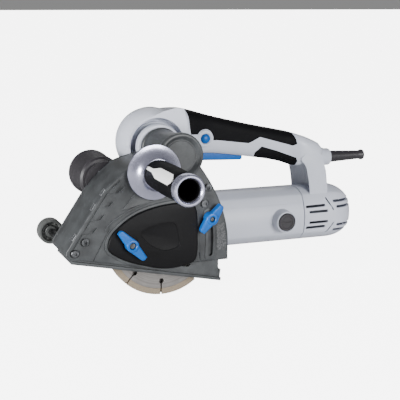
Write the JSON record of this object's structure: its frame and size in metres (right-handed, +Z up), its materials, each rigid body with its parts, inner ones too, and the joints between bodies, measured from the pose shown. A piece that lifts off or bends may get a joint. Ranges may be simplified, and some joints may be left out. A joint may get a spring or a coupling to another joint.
{
  "type": "wall chaser",
  "caption": "Wall chaser with twin discs in a cast guard, swinging depth shoe, D-handle over a motor barrel, tubular side handle and dust outlet.",
  "frame": {"origin": "middle of the tool's length and width, at the height of the lowest point of the cutting discs", "axes": "+X along the motor barrel towards the cord, +Y from the side handle's end towards the D-handle's side, +Z up"},
  "size_m": [0.4826, 0.287, 0.2358],
  "materials": {
    "bare_steel": "turned steel",
    "black_plastic": "moulded glass-filled nylon, fine texture",
    "blue_plastic": "moulded bright blue plastic, satin gloss",
    "brass": "copper alloy bars",
    "carbon": "pressed carbon graphite",
    "cast_aluminium": "die-cast aluminium",
    "disc_steel": "ground tool steel with sintered diamond segments",
    "guard_grey": "satin gunmetal powder coat on cast magnesium",
    "lamination": "stacked electrical steel laminations",
    "silver_plastic": "moulded silver-grey polyamide, satin",
    "soft_grip": "moulded soft-touch elastomer",
    "wheel_grey": "moulded grey nylon",
    "zinc_screw": "zinc-plated steel"
  },
  "bodies": {
    "chassis": {"guard_housing": "guard_grey", "guard_back_plate": "guard_grey", "handle_trunnion": "guard_grey", "trunnion_collar": "silver_plastic", "dust_adapter": "black_plastic", "aux_handle_core": "silver_plastic", "aux_handle_grip": "soft_grip", "roller_axle": "bare_steel", "cover_stud": "zinc_screw", "guard_screw_upper": "zinc_screw", "guard_screw_lower": "zinc_screw", "guard_screw_front": "zinc_screw", "gear_head": "cast_aluminium", "bearing_flange": "cast_aluminium", "bearing_shield": "cast_aluminium", "rear_bearing_bracket": "black_plastic", "motor_housing": "silver_plastic", "field_stator": "lamination", "spindle_bearing_main": "bare_steel", "rotor_bearing_front": "bare_steel", "rotor_bearing_rear": "bare_steel", "brush_cap_near": "black_plastic", "brush_cap_far": "black_plastic", "carbon_brush_near": "carbon", "carbon_brush_far": "carbon", "gear_head_screw_1": "zinc_screw", "gear_head_screw_2": "zinc_screw", "gear_head_screw_3": "zinc_screw", "gear_head_screw_4": "zinc_screw", "handle_shell_near": "silver_plastic", "handle_shell_far": "silver_plastic", "grip_pad_near": "soft_grip", "grip_pad_far": "soft_grip", "trigger_switch": "black_plastic", "cord_sleeve": "black_plastic", "handle_screw_1": "zinc_screw", "handle_screw_2": "zinc_screw", "handle_screw_3": "zinc_screw"},
    "spindle": {"spindle_shaft": "bare_steel", "drive_gear": "bare_steel", "inner_flange": "bare_steel", "cutting_disc_far": "disc_steel", "disc_spacer": "bare_steel", "cutting_disc_near": "disc_steel", "outer_flange": "bare_steel", "spindle_nut": "zinc_screw"},
    "rotor": {"rotor_shaft": "bare_steel", "drive_pinion": "bare_steel", "cooling_fan": "black_plastic", "armature": "lamination", "commutator": "brass"},
    "shoe": {"shoe": "guard_grey", "depth_stud": "zinc_screw"},
    "depth_nut": {"depth_wing_nut": "blue_plastic"},
    "roller": {"roller_wheel": "wheel_grey"},
    "cover": {"access_cover": "black_plastic"},
    "cover_nut": {"cover_wing_nut": "blue_plastic"},
    "trigger": {"trigger": "blue_plastic"},
    "lock_button": {"lock_button": "blue_plastic"},
    "spindle_lock": {"spindle_lock_button": "black_plastic"}
  },
  "joints": [
    {"name": "shoe_swing", "type": "hinge", "parent": "chassis", "child": "shoe", "pos_m": [-0.2243, 0.0215, 0.0736], "axis": [0, 1, 0], "range_deg": [0, 15]},
    {"name": "depth_nut_turn", "type": "hinge", "parent": "shoe", "child": "depth_nut", "pos_m": [-0.04775, -0.0215, 0.106], "axis": [0, 1, 0], "continuous": true},
    {"name": "roller_spin", "type": "hinge", "parent": "chassis", "child": "roller", "pos_m": [-0.2243, 0.1125, 0.0736], "axis": [0, 1, 0], "continuous": true},
    {"name": "spindle_spin", "type": "hinge", "parent": "chassis", "child": "spindle", "pos_m": [-0.0997, 0.0215, 0.075], "axis": [0, 1, 0], "continuous": true},
    {"name": "rotor_spin", "type": "hinge", "parent": "chassis", "child": "rotor", "pos_m": [0.0243, 0.0965, 0.075], "axis": [1, 0, 0], "continuous": true},
    {"name": "cover_slide", "type": "slide", "parent": "chassis", "child": "cover", "axis": [0, -1, 0], "range_m": [0, 0.02]},
    {"name": "cover_nut_turn", "type": "hinge", "parent": "cover", "child": "cover_nut", "pos_m": [-0.1542, -0.0235, 0.0805], "axis": [0, 1, 0], "continuous": true},
    {"name": "trigger_pull", "type": "hinge", "parent": "chassis", "child": "trigger", "pos_m": [0.0383, 0.0965, 0.17], "axis": [0, 1, 0], "range_deg": [0, 4.5], "stiffness_Nm_per_rad": 4, "springref_deg": -5.73},
    {"name": "lock_button_press", "type": "slide", "parent": "chassis", "child": "lock_button", "axis": [0, 1, 0], "range_m": [0, 0.0025], "stiffness_N_per_m": 600, "springref_m": -0.003},
    {"name": "spindle_lock_press", "type": "slide", "parent": "chassis", "child": "spindle_lock", "axis": [0, -1, 0], "range_m": [0, 0.004], "stiffness_N_per_m": 600, "springref_m": -0.004}
  ],
  "couplings": [
    {"joint": "rotor_spin", "follows": "spindle_spin", "ratio": 3.4444}
  ]
}
